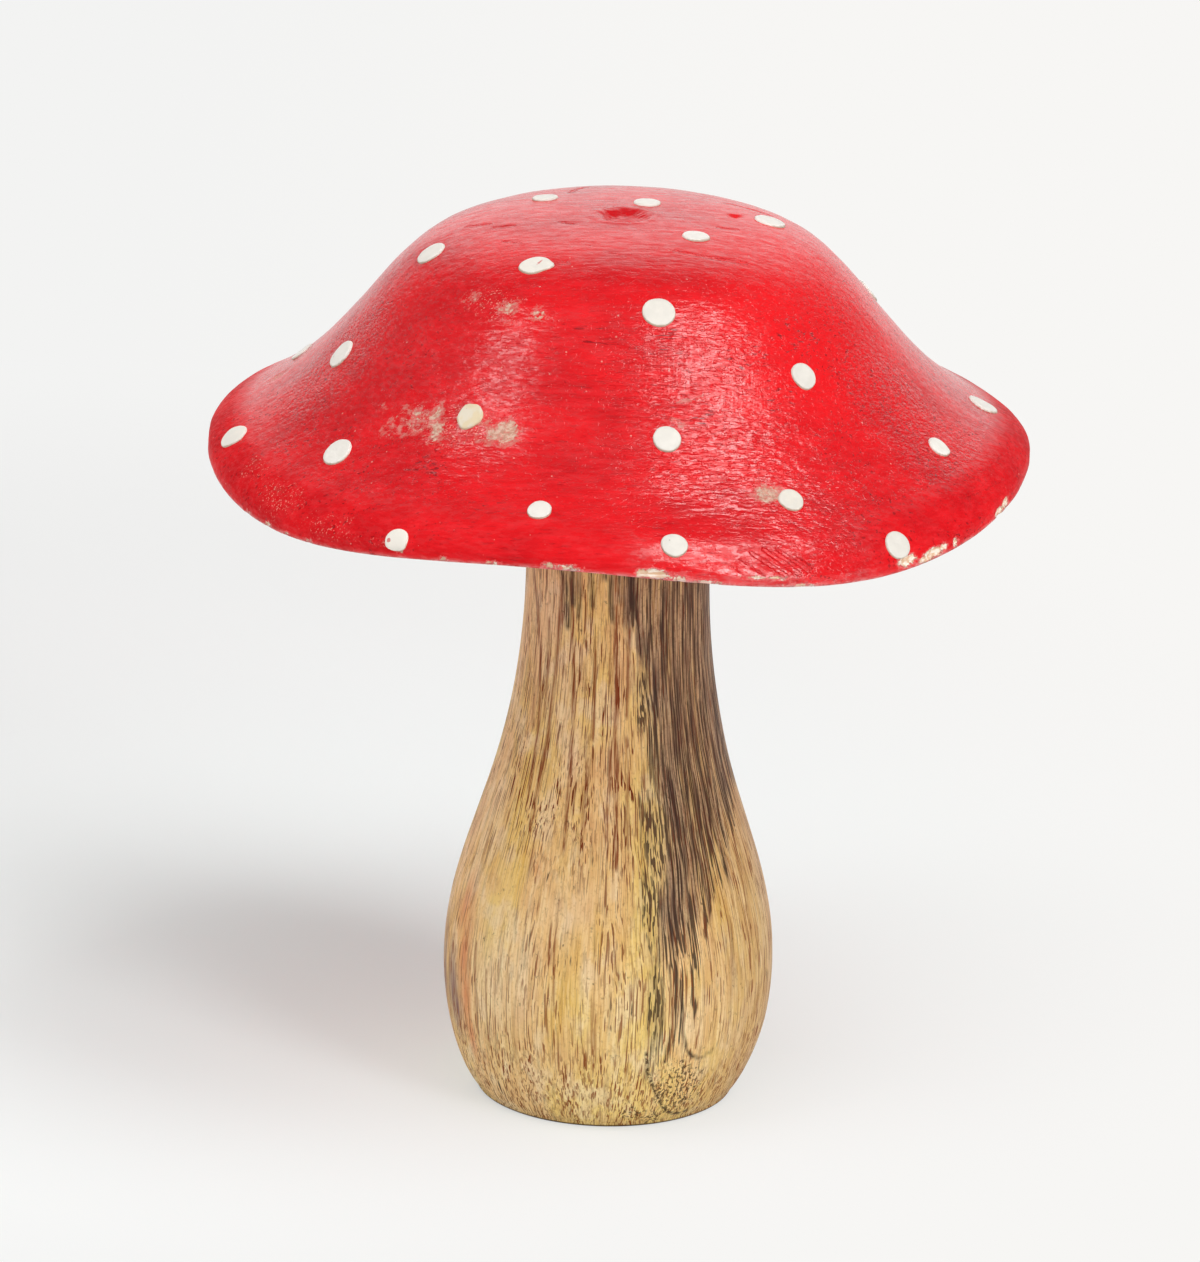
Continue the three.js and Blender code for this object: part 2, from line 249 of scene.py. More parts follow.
SCUFFED = [
    (-56, 78.5, 8, 4), (-44, 80.2, 8, 3), (-66, 77, 5, 3.5), (-34, 81.3, 5, 1.8), (-37, 36, 7, 4),
    (-33, 58, 13, 5), (112, 76, 9, 4), (-140, 74, 8, 4),
]
COARSE = [
    (14, 46, 14, 13), (18, 60, 18, 11), (30, 70, 14, 8), (-26, 50, 13, 9, -0.5), (62, 60, 12, 14),
    (66, 73, 13, 8), (-75, 55, 12, 14),
]
COMBED = [(12, 45, 9, 7), (25, 49, 8, 7), (19, 41, 8, 4)]
DARKENED = [
    (-7, 37.8, 6, 1), (-5, 40.6, 8, 0.9), (11.5, 39, 5, 1.6), (12, 42.4, 5.5, 1, 0.5), (-20, 72.2, 5, 1.1),
    (14, 53, 5, 2, 0.6), (34, 51, 3, 3, 0.4), (46, 42, 5, 3.6, 0.35), (-34, 66, 4, 2), (28, 44, 5, 3, 0.4),
    (160, 52, 8, 2), (-120, 60, 6, 2),
]
GOUGES = [
    ((26.4, 18.6), (48.4, 26.3), 0.5, 0.22), ((-79, 21.3), (-76, 18.5), 0.6, 0.3),
    ((-71, 10.9), (-57, 9.4), 0.5, 0.18), ((76, 15.8), (79, 18.6), 0.5, 0.3),
    ((-60, 22.5), (-52, 21), 0.5, 0.15), ((-30, 17), (-12, 16), 0.45, 0.12),
    ((-88, 25.5), (-85, 22), 0.6, 0.2), ((-30, 24.5), (-22, 23.5), 0.6, 0.2),
    ((-12, 19), (-2, 18.4), 0.4, 0.14), ((-100, 9.5), (-130, 13), 0.4, 0.06),
    ((112, 26), (128, 21), 0.5, 0.2), ((-150, 18), (-165, 23), 0.5, 0.2),
    ((19, 78.2), (23.5, 81.8), 0.45, 0.2), ((21, 77.6), (25.5, 81.6), 0.45, 0.24),
    ((23, 77.6), (27, 81.2), 0.4, 0.2), ((17, 79.2), (20.5, 81.9), 0.4, 0.14),
    ((15, 80), (17.5, 81.9), 0.4, 0.12), ((25.5, 78.6), (28, 80.8), 0.4, 0.14),
    ((58, 77.3), (72, 79.6), 0.5, 0.12), ((62, 75), (78, 77), 0.5, 0.12), ((55, 71), (70, 73.6), 0.5, 0.1),
]
PITS = [(103.2, 18.5, 1, 0.55), (39.6, 32.1, 0.4, 0.15), (-58.4, 39.1, 0.35, 0.12)]
CRATER_RADIUS = 4.1
CRATER_DEPTH = 0.85
OUTSIDE = -3.0


def turn_between(a, b):
    """Azimuth b from a, in radians, the short way round."""
    return (b - a + math.pi) % (2 * math.pi) - math.pi


def blob_field(azimuth, run, blobs):
    """How far inside the nearest blob each place is, in millimetres, down to OUTSIDE."""
    radius = np.maximum(np.interp(run, OUTLINE_RUN, OUTLINE[:, 0]), 1)
    field = np.full(np.shape(azimuth), OUTSIDE)
    for a, r, half_width, half_height, *most in blobs:
        side = turn_between(math.radians(a), azimuth) * radius / half_width
        depth = (1 - np.hypot(side, (run - r) / half_height)) * min(half_width, half_height)
        field = np.maximum(field, np.minimum(depth, most[0]) if most else depth)
    return field


def from_stroke(azimuth, run, start, end):
    """The distance from a stroke's line in millimetres, and the share of the way along it."""
    a, b = (np.array([math.radians(p[0]), p[1]]) for p in (start, end))
    radius = np.interp((a[1] + b[1]) / 2, OUTLINE_RUN, OUTLINE[:, 0])
    run_along = np.array([turn_between(a[0], b[0]) * radius, b[1] - a[1]])
    place = np.stack([turn_between(a[0], azimuth) * radius, run - a[1]], -1)
    share = np.clip(place @ run_along / (run_along @ run_along), 0, 1)
    return np.linalg.norm(place - share[..., None] * run_along, axis=-1), share


def crack_field(azimuth, run):
    """How far inside the nearest gouge each place is, in half-widths, down to OUTSIDE."""
    field = np.full(np.shape(azimuth), OUTSIDE)
    for start, end, half_width, depth in GOUGES:
        away, _ = from_stroke(azimuth, run, start, end)
        field = np.maximum(field, smooth(depth, 0, 0.24) * 1.6 - 0.6 - away / half_width)
    return field


def cap_relief(azimuth, run):
    """How far the real surface lies under the turned one, in millimetres, as a height below 0."""
    place = cap_point(azimuth, run)
    # Uneven turning, rougher at the brim
    rise = 0.16 * noise(place, (17, 11, 11), 3) + 0.04 * noise(place, (7, 1.6, 1.6), 11) - 0.2
    rise = rise + 0.1 * smooth(run, RIM_RUN - 6, RIM_RUN) * noise(place, 5, 5)
    for start, end, half_width, depth in GOUGES:
        away, share = from_stroke(azimuth, run, start, end)
        tapered = smooth(-away, -half_width * 1.6, 0) * smooth(np.sin(share * math.pi), -0.1, 0.5)
        rise = rise - 0.5 * depth * tapered
    for a, r, size, depth in PITS:
        away = np.linalg.norm(place - cap_point(math.radians(a), np.float64(r)), axis=-1)
        rise = rise - depth * smooth(-away, -size * 1.3, -size * 0.3)
    # The filled screw hole, a rough hollow with a lip
    from_axis = np.hypot(place[..., 0] * 0.92, place[..., 1])
    from_axis = from_axis + 0.8 * noise(place, (1.9, 1.5, 9), 8, 3)
    rise = rise - CRATER_DEPTH * smooth(-from_axis, -CRATER_RADIUS, -CRATER_RADIUS * 0.5)
    inside = smooth(-from_axis, -CRATER_RADIUS, -CRATER_RADIUS * 0.8)
    rise = rise + 0.16 * noise(place, (1.3, 1.0, 4), 9, 2) * inside
    rise = rise + 0.12 * smooth(-np.abs(from_axis - CRATER_RADIUS - 0.5), -0.9, 0)
    # Chips, and paint worn thin
    ragged = 0.3 * noise(place, 1.2, 21, 2)
    rise = rise - 0.28 * smooth(blob_field(azimuth, run, CHIPS) + ragged, -0.05, 0.35)
    return rise - 0.05 * smooth(blob_field(azimuth, run, WORN) + ragged, 0, 0.5)


def cap_surface(azimuth, run, above=0.0):
    """Places on the cap's real surface, or some millimetres above it."""
    height = cap_relief(azimuth, run) + above
    return cap_point(azimuth, run) + cap_normal(azimuth, run) * height[..., None]


# Meshes
def in_scene(name, data):
    thing = bpy.data.objects.new(name, data)
    bpy.context.scene.collection.objects.link(thing)
    return thing


def turned_mesh(name, rings, closed_start, closed_end):
    """A mesh of rings of points, each ring going once round, with a fan to each middle given."""
    corners = np.arange(rings[..., 0].size).reshape(rings.shape[:2])
    nexts = np.roll(corners, -1, axis=1)
    faces = np.stack([corners[:-1], corners[1:], nexts[1:], nexts[:-1]], -1).reshape(-1, 4).tolist()
    points = [*rings.reshape(-1, 3)]
    fans = (closed_start, corners[0], nexts[0]), (closed_end, nexts[-1], corners[-1])
    for middle, first, second in fans:
        if middle is not None:
            faces += [(len(points), a, b) for a, b in zip(first.tolist(), second.tolist())]
            points.append(middle)
    mesh = bpy.data.meshes.new(name)
    mesh.from_pydata((np.array(points) * MM).tolist(), [], faces)
    mesh.shade_smooth()
    mesh.validate()
    return in_scene(name, mesh)


def add_values(piece, name, values):
    """Gives each point a value for the material. Points past the end of the values get 0."""
    attribute = piece.data.attributes.new(name, "FLOAT", "POINT")
    padded = np.zeros(len(piece.data.vertices), np.float32)
    padded[:values.size] = values.ravel()
    attribute.data.foreach_set("value", padded)


def settle(piece, nodes, material):
    """Says what a piece is made of and which solids it stands for."""
    piece.data.materials.append(material)
    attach(piece, "root")
    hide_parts(*nodes)


# Nodes
def linear(colour):
    """Linear light from a colour as written on screens."""
    values = [int(colour[i:i + 2], 16) / 255 for i in (1, 3, 5)]
    return tuple(v / 12.92 if v <= 0.04045 else ((v + 0.055) / 1.055) ** 2.4 for v in values) + (1,)


class Nodes:
    """Adds nodes to a tree. A value in a call is a number, a colour such as "#ff0000", the name of
    a mesh's attribute or another node's output."""

    def __init__(self, tree):
        self.tree = tree

    def put(self, socket, value):
        if isinstance(value, str) and not value.startswith("#"):
            value = self.node("Attribute", {}, attribute_name=value).outputs["Fac"]
        if isinstance(value, bpy.types.NodeSocket):
            self.tree.links.new(value, socket)
        else:
            socket.default_value = linear(value) if isinstance(value, str) else value

    def node(self, kind, inputs, **settings):
        """A new node, with values for its inputs by number or name."""
        node = self.tree.nodes.new("ShaderNode" + kind)
        for name, setting in settings.items():
            setattr(node, name, setting)
        for key, value in inputs.items():
            self.put(node.inputs[key], value)
        return node

    def axes(self, vector):
        return self.node("SeparateXYZ", {0: vector}).outputs

    def length(self, vector):
        return self.node("VectorMath", {0: vector}, operation="LENGTH").outputs["Value"]

    def scaled(self, vector, factors, offset=(0, 0, 0)):
        inputs = {0: vector, 1: factors, 2: offset}
        return self.node("VectorMath", inputs, operation="MULTIPLY_ADD").outputs[0]

    def math(self, operation, *values):
        """The first value, with each of the others joined to it in turn."""
        total = values[0]
        for value in values[1:]:
            total = self.node("Math", {0: total, 1: value}, operation=operation).outputs[0]
        return total

    def add(self, *values):
        return self.math("ADD", *values)

    def times(self, *values):
        return self.math("MULTIPLY", *values)

    def most(self, *values):
        return self.math("MAXIMUM", *values)

    def rest_of(self, share):
        return self.math("SUBTRACT", 1, share)

    def step(self, value, low, high, start=0, end=1):
        """A smooth step from start at low to end at high."""
        inputs = dict(enumerate((value, low, high, start, end)))
        return self.node("MapRange", inputs, interpolation_type="SMOOTHSTEP").outputs[0]

    def mix(self, share, a, b):
        """Colour a, covered by colour b to a share."""
        return self.node("Mix", {0: share, 6: a, 7: b}, data_type="RGBA").outputs[2]


class Material(Nodes):
    """A material whose colour is laid on in layers."""

    def __init__(self, name, **constants):
        self.material = bpy.data.materials.new(name)
        self.material.use_nodes = True
        super().__init__(self.material.node_tree)
        self.shader = self.tree.nodes["Principled BSDF"]
        for socket, value in constants.items():
            self.set(socket.replace("_", " "), value)
        coordinates = self.node("TexCoord", {})
        self.place = self.scaled(coordinates.outputs["Object"], (1 / MM, 1 / MM, 1 / MM))
        self.colour = None

    def set(self, socket, value):
        self.put(self.shader.inputs[socket], value)

    def lay(self, colour, *shares):
        """Covers the colour so far with another, by the shares multiplied together."""
        self.colour = self.mix(self.times(*shares), self.colour, colour)

    def noise(self, size, detail, seed, roughness=0.5, place=None):
        """Noise from 0 to 1 with features of a size in millimetres, or of one along each axis."""
        factors = 1 / (np.zeros(3) + size)
        place = self.scaled(place or self.place, factors, (seed, seed * 1.7, seed * 0.6))
        inputs = {"Vector": place, "Scale": 1, "Detail": detail, "Roughness": roughness}
        return self.node("TexNoise", inputs).outputs["Fac"]

    def specks(self, size, seed):
        """The distance from the nearest speck, in cells of a size, and a random value for it."""
        shift = (seed, seed * 1.3, seed * 0.7)
        place = self.scaled(self.place, (1 / size, 1 / size, 1 / size), shift)
        node = self.node("TexVoronoi", {"Vector": place, "Scale": 1})
        pick = self.node("SeparateColor", {0: node.outputs["Color"]}).outputs[0]
        return node.outputs["Distance"], pick

    def ragged(self, value, noise, amount):
        """A value moved up and down by a noise."""
        return self.add(value, self.times(self.add(noise, -0.5), amount))

    def bump(self, height, strength=1):
        """Relief from a height in millimetres."""
        inputs = {"Strength": strength, "Distance": MM, "Height": height}
        self.set("Normal", self.node("Bump", inputs).outputs[0])


def cap_material():
    n = Material("red_brushed_paint", IOR=1.5)
    x, _, z = n.axes(n.place)
    streaks = n.noise((3, 0.8, 0.4), 1.5, 3)
    long_streaks = n.noise((9, 1.8, 0.9), 1.5, 17)
    patchy = n.noise((3, 1.5, 1.5), 4, 12)
    frayed = n.noise((0.8, 0.7, 0.7), 4, 21, 0.7)
    lacy = n.noise((0.55, 0.45, 0.45), 3, 33, 0.65)
    blotchy = n.noise((1.7, 1.3, 1.3), 5, 36, 0.68)

    # Red paint, brushed round the axis
    n.colour = n.mix(n.step(n.noise((16, 9, 9), 3, 7), 0.35, 0.65), "#cb121a", "#de161d")
    n.lay("#f02830", n.step(long_streaks, 0.45, 0.7), 0.35)
    n.lay("#b8101b", n.step(patchy, 0.52, 0.75), 0.25)
    # The crown's right side is painted a brighter red, a painted highlight where more light falls.
    n.lay("#f01a20", n.step(x, 4, 26), n.step(z, 118, 134), 0.6)

    # The wood's pores, long at the front and round at the sides, and darkened places
    pore_places = n.noise((3.6, 0.7, 0.34), 1.5, 41, 0.4)
    pore_share = n.step(n.noise((9, 6, 6), 2, 44), 0.36, 0.6)
    at_side = n.step(n.math("ABSOLUTE", x, 0), 14, 40)
    round_pores = n.times(n.step(n.noise((0.7, 0.6, 0.6), 1, 46), 0.64, 0.69), at_side)
    long_pores = n.times(n.step(pore_places, 0.62, 0.68), n.step(at_side, 0, 1, 0.45, 0.1))
    below_crown = n.step(z, 148, 138, 0.3)
    dark_field = n.ragged("dark", streaks, 5)
    darkened = n.times(n.step(dark_field, 0.2, 1.2), n.step(pore_places, 0.52, 0.62))
    pores = n.times(n.most(round_pores, long_pores), pore_share, 0.8, below_crown)
    pores = n.most(pores, n.times(darkened, 0.95))
    n.lay("#7a0f16", pores, 0.8)

    # Pale specks and scuffs, and tiny pink dots that are painted glints
    speck_away, speck_pick = n.specks(2.6, 2)
    specks = n.times(n.step(speck_away, 0.075, 0.045), n.step(speck_pick, 0.55, 0.6))
    scuff_field = n.ragged("scuff", patchy, 6)
    scratchy = n.step(n.noise((0.36, 0.34, 0.34), 1, 35), 0.6, 0.7)
    scuffs = n.times(n.step(scuff_field, 0.2, 2.5), scratchy)
    n.lay("#b8382e", n.step(scuff_field, 0.5, 4), n.step(blotchy, 0.48, 0.62), 0.4)
    n.lay("#f0a394", n.times(n.most(specks, scuffs), 0.6))
    # Tiny pink dots over the patchier paint are painted glints of light.
    glint_away, glint_pick = n.specks(1.2, 9)
    glint_share = n.step(patchy, 0.44, 0.6)
    n.lay("#f58a85", n.step(glint_away, 0.13, 0.07), n.step(glint_pick, 0.4, 0.8), glint_share, 0.4)

    # Paint worn through to a beige ground
    thin_field = n.ragged("worn", blotchy, 6)
    worn_field = n.ragged("worn", frayed, 3.2)
    veil = n.times(n.step(thin_field, -0.1, 1.1), n.step(lacy, 0.38, 0.62, 0.2, 0.65))
    core = n.times(n.step(worn_field, 0.6, 1), n.step(lacy, 0.36, 0.5, 0.6, 0.9))
    worn = n.most(veil, core)
    beige = n.mix(n.step(frayed, 0.4, 0.62), "#b98d76", "#d8c2aa")
    n.lay(n.mix(core, "#cf9384", beige), worn)

    # Chips down to the wood, each with a pink border, and a broken pale line along the brim's lower edge
    # that is a painted reflection of the floor
    chip_field = n.ragged("chip", frayed, 1.9)
    chip = n.step(chip_field, 0, 0.12)
    n.lay("#f08f8a", n.step(chip_field, -0.35, 0), 0.5)
    wood_grain = n.step(n.noise((4, 0.5, 0.5), 3, 51), 0.4, 0.62)
    n.lay(n.mix(wood_grain, "#dfb592", "#f7e8d8"), chip)
    # The pale pink line along the brim's lower edge is a painted reflection of the floor.
    edge_reflection_share = n.step(n.noise((2.4, 2.4, 1), 3, 77, 0.7), 0.4, 0.6, 0.2, 0.75)
    n.lay("#eba8a4", "edge", edge_reflection_share)
    n.set("Base Color", n.colour)

    # The gloss is broken by brush lines, and by a comb of fine ones in a few places
    comb = n.noise((0.42, 5, 4), 2, 71)
    comb_share = n.step(n.ragged("combed", blotchy, 12), -1, 5, 0, 0.6)
    brush_lines = n.step(n.noise((2.2, 1.3, 0.6), 3, 74, 0.6), 0.43, 0.58)
    brushed = n.times(brush_lines, n.step(blotchy, 0.4, 0.55, 0.45), n.rest_of(comb_share))
    rubbed = n.add(brushed, n.times(n.step(comb, 0.42, 0.58, 0.25), comb_share))
    sheen = n.step("coarse", -2, 5, 1, 1.25)
    lip_gloss = n.step("lip", 0, 1, 1, 0.2)
    n.set("Specular IOR Level", n.times(n.step(rubbed, 0, 1, 0.32), sheen, lip_gloss))
    rough = n.add(0.1, n.times(streaks, 0.08), n.times(patchy, 0.12), n.times("lip", 0.35))
    bare = n.most(chip, worn)
    n.set("Roughness", n.add(n.times(rough, n.rest_of(bare)), n.times(bare, 0.8)))

    coarse = n.add(0.06, n.times(n.step("coarse", -2, 6), 0.24))
    n.bump(n.add(
        n.times(streaks, coarse),
        n.times(long_streaks, 0.1),
        n.times(n.noise((3.2, 0.9, 0.9), 1, 61), 0.04),
        n.times(n.noise((0.4, 0.25, 0.25), 2, 5), 0.004),
        n.times(n.step(n.noise((0.9, 0.6, 0.6), 1, 66), 0.55, 0.62), coarse, -0.35),
        n.times(comb, comb_share, 0.08),
        n.times(n.step(n.ragged("crack", frayed, 1.6), -0.3, 0.5), -0.16),
        n.times(pores, -0.08),
        n.times(specks, 0.04),
        n.times(worn, -0.04),
        n.times(chip, -0.12),
    ))
    return n.material


def dab_material():
    n = Material("thick_white_paint", IOR=1.48, Specular_IOR_Level=0.3)
    cloudy = n.noise(1.6, 3, 4)
    # A greyer white on the listed dabs is partly thin paint and partly painted shade that evens out how
    # bright the dabs look in the light.
    darker = n.mix("thin_and_shaded", "#eae5dc", "#dad5cc")
    lighter = n.mix("thin_and_shaded", "#f0ebe3", "#e1dcd3")
    n.colour = n.mix(n.step(cloudy, 0.35, 0.7), darker, lighter)
    dirt_away, dirt_pick = n.specks(1.7, 6)
    n.lay("#8c7c5c", n.step(dirt_away, 0.09, 0.05), n.step(dirt_pick, 0.62, 0.68), 0.55)
    # A brownish line round each dab's edge, kept to its lower side: partly the paint's edge and partly
    # painted shade under the raised rim.
    rim_line_and_shade = n.ragged("rim", n.noise(0.6, 2, 9), 0.12)
    n.lay("#94703f", n.step(rim_line_and_shade, 0.9, 0.98), 0.5625)
    n.lay("#dccba9", "yellowed", n.step(cloudy, 0.4, 0.6, 0.5))
    red_mark = n.ragged("mark", n.noise(0.5, 2, 19), 1.2)
    n.lay("#c8352f", n.step(red_mark, 0, 0.25), 0.75)
    n.set("Base Color", n.colour)
    n.set("Roughness", n.add(0.38, n.times(cloudy, 0.2)))
    n.bump(n.times(n.noise(0.7, 3, 14), 0.05), 0.6)
    return n.material


def stem_material():
    n = Material("spalted_hardwood", IOR=1.48, Specular_IOR_Level=0.2)
    _, _, z = n.axes(n.place)
    # The grain follows the turned outline, and the cut across it shows only near the foot
    from_axis = n.length(n.scaled(n.place, (1, 1, 0)))
    foot = n.most(n.math("SUBTRACT", 18, z), 0)
    own_radius = n.add(n.times(from_axis, 0.1), 18.9, n.times(foot, foot, 0.0075))
    spread = n.math("DIVIDE", own_radius, n.most(from_axis, 0.1))
    factors = n.node("CombineXYZ", {0: spread, 1: spread, 2: 1}).outputs[0]
    drift = n.scaled(n.noise((12, 12, 40), 2, 2), (3, 3, 0))
    grain_place = n.scaled(n.place, factors, drift)

    def grain(width, length, detail, seed, roughness=0.5):
        return n.noise((width, width, length), detail, seed, roughness, grain_place)

    # Pale wood with softer bands and fibres
    blotches = n.noise((4.5, 4.5, 8), 3, 71)
    bands = grain(0.9, 22, 3, 15, 0.55)
    fibres = grain(0.24, 9, 2, 8, 0.6)
    speckle = n.noise((0.4, 0.4, 0.6), 2, 73)
    plain = n.step("open", 0.1, 0.7, 0.08, 0.2)
    n.colour = n.mix(n.step(grain(8, 45, 2, 1), 0.4, 0.6), "#edc687", "#efd07e")
    n.lay("#d6a473", n.step(blotches, 0.5, 0.64), 0.35)
    n.lay("#f2dcb4", n.step(blotches, 0.48, 0.36), 0.5)
    n.lay("#f5ddb6", "pale", 0.65)
    n.lay("#e4b843", "yellow", 0.6)
    # A darker tan over the right side is painted shade that tones down the strong light from the right.
    n.lay("#c39560", "shaded_right_side", 0.62)
    n.lay("#bf8549", n.step(bands, 0.5, 0.62), plain, 0.55)
    n.lay("#f5e2b6", n.step(bands, 0.47, 0.38), 0.22)
    n.lay("#b0733c", n.step(fibres, 0.52, 0.6), plain)
    n.lay("#fbe9b4", n.step(fibres, 0.47, 0.39), plain, 1.4)
    n.lay("#b88450", n.step(speckle, 0.52, 0.7), 0.3)
    n.lay("#cf6a38", "orange", 0.65)
    n.lay("#5a324e", "purple", n.step(grain(0.6, 12, 3, 61), 0.4, 0.56, 0.55), 0.95)
    n.lay("#c8ad66", "dashed", 0.45)

    # The grey-brown stain, then black lines in it and beside it
    wood = n.colour
    clusters = grain(1.7, 17, 3, 31, 0.55)
    n.colour = n.mix(n.step(clusters, 0.44, 0.6), "#7b5d49", "#b4926e")
    n.lay("#4a3126", n.step(clusters, 0.46, 0.38), 0.5)
    n.lay("#c0a274", n.step(fibres, 0.48, 0.4), 0.62)
    n.lay("#402a20", n.step(fibres, 0.52, 0.59), 0.75)
    n.lay("#5c4636", n.step(speckle, 0.5, 0.62), 0.35)
    band_field = n.ragged("band", grain(0.9, 12, 4, 22, 0.6), 3.2)
    n.colour = n.mix(n.times(n.step(band_field, 0, 1.15), 0.92), wood, n.colour)
    lines = n.ragged(grain(0.3, 16, 1.5, 27, 0.55), clusters, -0.25)
    short_lines = n.ragged(grain(0.27, 2.8, 1, 28), clusters, -0.2)
    lined_field = n.ragged("lined", grain(0.7, 7, 2, 25), 2.4)
    lined = n.add(
        n.times(n.step(lines, 0.5, 0.55), n.rest_of("dashed")),
        n.times(n.step(short_lines, 0.49, 0.53), "dashed"),
    )
    lined = n.times(lined, n.step(lined_field, 0.4, 0.6))
    n.lay("#3a251b", lined, 0.9)
    black = n.times("dense", n.step(grain(0.34, 13, 2, 63, 0.55), 0.49, 0.54))
    n.lay("#362318", black, 0.85)

    # Open vessels, cut short near the foot
    vessels = n.step(grain(0.26, 4.6, 1, 36), 0.6, 0.64)
    long_vessels = n.times(n.step(grain(0.26, 15, 1, 39), 0.61, 0.65), 0.9)
    vessel_share = n.step(grain(2.4, 14, 2, 43), 0.4, 0.52, 0.42)
    foot_vessels = n.times(n.step(grain(0.36, 1.7, 1, 37), 0.6, 0.65), n.step(z, 21, 6), 0.8)
    vessel = n.most(n.times(n.most(vessels, long_vessels), vessel_share), foot_vessels)
    n.lay(n.mix(n.step(z, 8, 56), "#8a4a20", "#742f0e"), vessel, "open")

    # Streaks, dots, the inked arc, and a painted contact shadow along the bottom edge of the foot
    n.lay("#803a16", "streak", n.step(grain(0.3, 7, 2, 51), 0.42, 0.54, 0.35))
    # The shade strokes at the top of the neck, under the cap, are painted shade along its streaks; those
    # near the foot are dark lines in the wood.
    n.lay("#3a251b", "shade", n.step(grain(0.35, 9, 2, 52), 0.42, 0.54, 0.45))
    dots = n.step(n.noise((0.42, 0.42, 0.6), 1.5, 57), 0.52, 0.57)
    dotted_field = n.ragged("dotted", n.noise(1.2, 2, 58), 1.6)
    n.lay("#54391f", dots, n.step(dotted_field, 0.15, 0.55), 0.85)
    broken = n.step(n.noise(0.6, 1, 59), 0.42, 0.54, 0.2, 0.95)
    n.lay("#422a18", "inked", broken)
    # A dark brown line along the bottom edge of the foot is a painted contact shadow.
    n.lay("#50391f", n.step(z, 0.6, 0.25))
    n.set("Base Color", n.colour)

    dull = n.most(vessel, lined, black)
    n.set("Roughness", n.add(0.36, n.times(fibres, 0.14), n.times(dull, 0.2)))
    n.bump(n.add(n.times(fibres, 0.02), n.times(vessel, -0.035)), 0.5)
    return n.material


def screw_material():
    n = Material("zinc_plated_steel", Metallic=1)
    turning = n.noise((6, 6, 0.3), 3, 1)
    n.set("Base Color", n.mix(turning, "#a8aaac", "#c8cacc"))
    n.set("Roughness", n.add(0.28, n.times(turning, 0.2)))
    n.bump(n.times(turning, 0.04), 0.5)
    return n.material


# The cap, with its filled screw hole, as one painted skin
CAP_COLUMNS = 560
# How far round the edge the first rings of the underside lie, which share the edge's marks
UNDER_EDGE = [0.35, 0.8, 1.4, 2.2]
UNMARKED_RUN = RIM_RUN + 9
GLOSSY_LIP_AZIMUTH = 20


def closer_in_front(count):
    """Azimuths once round, closer together at the front."""
    t = np.linspace(-math.pi, math.pi, count, endpoint=False)
    return t - 0.38 * np.sin(t)


def inner_outline():
    """From just inside the brim's edge over the underside to the top of the screw's bore."""
    edge = np.array([CAP_RADIUS, EDGE_HEIGHT])
    landing = np.array([LANDING_RADIUS, STEM_LENGTH])
    inwards = along(UNDERSIDE_SLOPE, UNDERSIDE_FULLNESS)
    underside = bezier(edge, edge - inwards, landing + (LANDING_FULLNESS, 0), landing, 300)
    under_runs = np.concatenate([UNDER_EDGE, np.linspace(4, run_of(underside)[-1], 20)])
    cone = HEAD_BORE_RADIUS - SHANK_HOLE_RADIUS
    return np.vstack([
        resampled(underside, under_runs),
        (TENON_RADIUS + SEAT_GAP, STEM_LENGTH),
        (TENON_RADIUS + SEAT_GAP, SOCKET_TOP),
        (SHANK_HOLE_RADIUS, SOCKET_TOP),
        (SHANK_HOLE_RADIUS, HEAD_TOP - HEAD_RIM - cone),
        (HEAD_BORE_RADIUS, HEAD_TOP - HEAD_RIM),
        (HEAD_BORE_RADIUS, HEAD_TOP),
    ])


